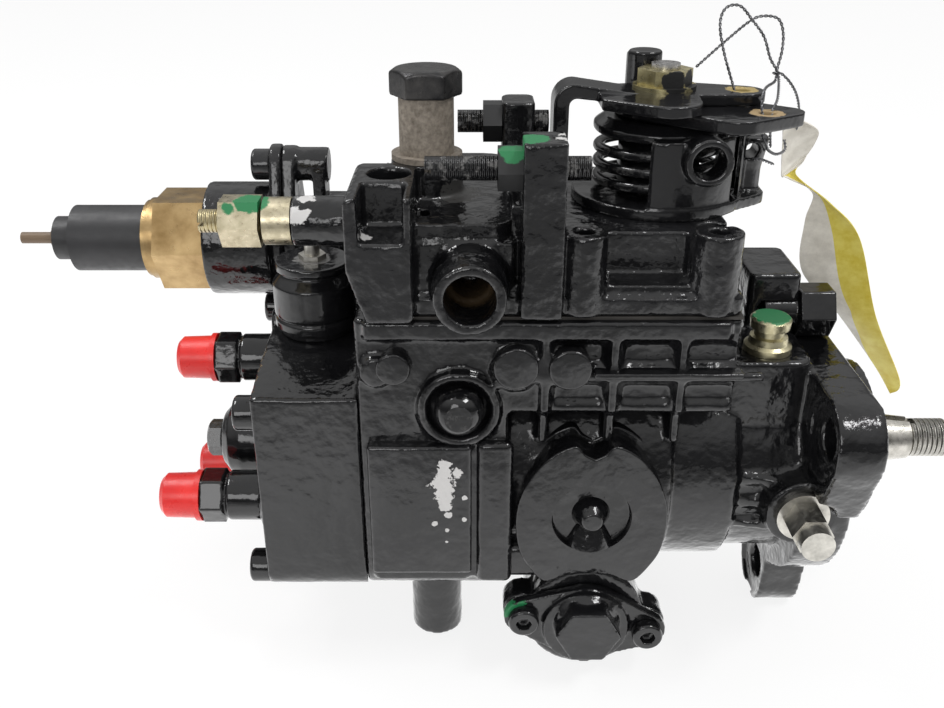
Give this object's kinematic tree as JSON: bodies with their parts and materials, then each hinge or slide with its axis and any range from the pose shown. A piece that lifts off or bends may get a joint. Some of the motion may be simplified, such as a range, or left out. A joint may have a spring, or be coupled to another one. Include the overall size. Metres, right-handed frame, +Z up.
{
  "type": "diesel injection pump",
  "caption": "Rotary distributor diesel injection pump: flanged cast housing with drive shaft, governor cover, throttle levers, stop solenoid and capped outlets.",
  "frame": {"origin": "on the drive shaft's axis, at the flange's mounting face", "axes": "+X along the drive shaft to the drive end, +Y to the far side with the cold-start unit, +Z up"},
  "size_m": [0.3028, 0.1186, 0.1868],
  "materials": {
    "black_casting": "thick gloss black paint over casting",
    "zinc_plate": "dull zinc plating",
    "yellow_zinc": "yellow passivated zinc",
    "bare_steel": "turned bare steel",
    "dark_steel": "blackened steel",
    "bronze": "plain bearing bronze",
    "brass": "dull turned brass",
    "cast_alloy": "cast alloy",
    "black_plastic": "matt black moulded plastic",
    "red_plastic": "soft red plastic cap",
    "rubber_seal": "black rubber",
    "gasket": "dark fibre gasket",
    "pale_tag": "pale plastic strip, bare"
  },
  "bodies": {
    "pump_body": {"pump_housing": "black_casting", "front_bush": "bronze", "front_seals": "rubber_seal", "distributor_head": "black_casting", "cap_screws": "zinc_plate", "head_plug": "black_casting", "vent_bolt": "zinc_plate", "valve_holders": "zinc_plate", "delivery_springs": "bare_steel", "holder_caps": "red_plastic", "stop_solenoid": "zinc_plate", "terminal_studs": "brass", "governor_cover": "black_casting", "cover_gasket": "gasket", "overflow_bolt": "zinc_plate", "overflow_sleeve": "bare_steel", "adjusting_screws": "yellow_zinc", "adjusting_nuts": "yellow_zinc", "wax_motor_housing": "cast_alloy", "cold_start_housing": "cast_alloy", "wax_motor_nut": "brass", "wax_motor_cap": "black_plastic", "timing_covers": "black_casting", "timing_cover_screws": "dark_steel", "timing_spring": "bare_steel", "pressure_valve": "bare_steel", "inlet_union": "zinc_plate", "shaft_lock_bolt": "zinc_plate", "pivot_bolts": "dark_steel", "return_spring": "dark_steel", "spring_bracket": "yellow_zinc", "feed_pump_ring": "bare_steel", "feed_pump_plate": "bare_steel", "governor_shaft": "bare_steel", "governor_spring": "bare_steel", "plunger_springs": "bare_steel"},
    "drive_train": {"drive_shaft": "bare_steel", "feed_pump_rotor": "bare_steel", "drive_gear": "bare_steel", "cam_plate": "bare_steel", "plunger": "bare_steel"},
    "governor_rotor": {"governor_hub": "bare_steel", "flyweights": "dark_steel"},
    "sleeve": {"governor_sleeve": "bare_steel"},
    "governor_arm": {"governor_lever": "zinc_plate"},
    "spool": {"control_spool": "bare_steel"},
    "advance_piston": {"timing_piston": "bare_steel"},
    "ring": {"roller_ring": "bare_steel"},
    "stop_plunger": {"solenoid_plunger": "bare_steel"},
    "throttle": {"throttle_shaft": "bare_steel", "throttle_lever": "yellow_zinc", "linkage_lever": "yellow_zinc", "lever_nut": "zinc_plate", "spring_collar": "yellow_zinc", "seal_wire": "bare_steel", "seal_tag": "pale_tag"},
    "wax_rod": {"wax_motor_plunger": "bare_steel"},
    "valve_1": {"delivery_valve_1": "bare_steel"},
    "valve_2": {"delivery_valve_2": "bare_steel"},
    "valve_3": {"delivery_valve_3": "bare_steel"}
  },
  "joints": [
    {"name": "drive_turn", "type": "hinge", "parent": "pump_body", "child": "drive_train", "pos_m": [0, 0, 0], "axis": [1, 0, 0], "continuous": true},
    {"name": "governor_turn", "type": "hinge", "parent": "pump_body", "child": "governor_rotor", "pos_m": [-0.053, 0, 0.04375], "axis": [1, 0, 0], "continuous": true},
    {"name": "sleeve_slide", "type": "slide", "parent": "pump_body", "child": "sleeve", "axis": [-1, 0, 0], "range_m": [0, 0.0022]},
    {"name": "governor_lever_tilt", "type": "hinge", "parent": "pump_body", "child": "governor_arm", "pos_m": [-0.1103, 0, 0.0319], "axis": [0, 1, 0], "range_deg": [-10.8, 0], "deforming": ["governor_spring"]},
    {"name": "spool_slide", "type": "slide", "parent": "pump_body", "child": "spool", "axis": [1, 0, 0], "range_m": [0, 0.0041]},
    {"name": "timing_slide", "type": "slide", "parent": "pump_body", "child": "advance_piston", "axis": [0, 1, 0], "range_m": [0, 0.006], "stiffness_N_per_m": 600, "springref_m": -0.004, "deforming": ["timing_spring"]},
    {"name": "roller_ring_turn", "type": "hinge", "parent": "pump_body", "child": "ring", "pos_m": [-0.072, 0, 0], "axis": [1, 0, 0], "range_deg": [0, 8.7]},
    {"name": "stop_plunger_lift", "type": "slide", "parent": "pump_body", "child": "stop_plunger", "axis": [0, 0, 1], "range_m": [0, 0.0018], "stiffness_N_per_m": 400, "springref_m": -0.006},
    {"name": "throttle_turn", "type": "hinge", "parent": "pump_body", "child": "throttle", "pos_m": [-0.0545, 0.004, 0.1], "axis": [0, 0, 1], "range_deg": [0, 45], "stiffness_Nm_per_rad": 0.4, "springref_deg": -28.65, "deforming": ["governor_spring", "seal_wire", "seal_tag"]},
    {"name": "wax_rod_slide", "type": "slide", "parent": "pump_body", "child": "wax_rod", "axis": [1, 0, 0], "range_m": [0, 0.005]},
    {"name": "delivery_valve_1_lift", "type": "slide", "parent": "pump_body", "child": "valve_1", "axis": [-1, 0, 0], "range_m": [0, 0.002], "stiffness_N_per_m": 800, "springref_m": -0.003, "deforming": ["delivery_springs"]},
    {"name": "delivery_valve_2_lift", "type": "slide", "parent": "pump_body", "child": "valve_2", "axis": [-1, 0, 0], "range_m": [0, 0.002], "stiffness_N_per_m": 800, "springref_m": -0.003, "deforming": ["delivery_springs"]},
    {"name": "delivery_valve_3_lift", "type": "slide", "parent": "pump_body", "child": "valve_3", "axis": [-1, 0, 0], "range_m": [0, 0.002], "stiffness_N_per_m": 800, "springref_m": -0.003, "deforming": ["delivery_springs"]}
  ],
  "couplings": [
    {"joint": "governor_turn", "follows": "drive_turn", "ratio": -1.5},
    {"joint": "governor_lever_tilt", "follows": "sleeve_slide", "rad_per_m": -84.4},
    {"joint": "spool_slide", "follows": "sleeve_slide", "ratio": 1.823},
    {"joint": "roller_ring_turn", "follows": "timing_slide", "rad_per_m": 25}
  ]
}
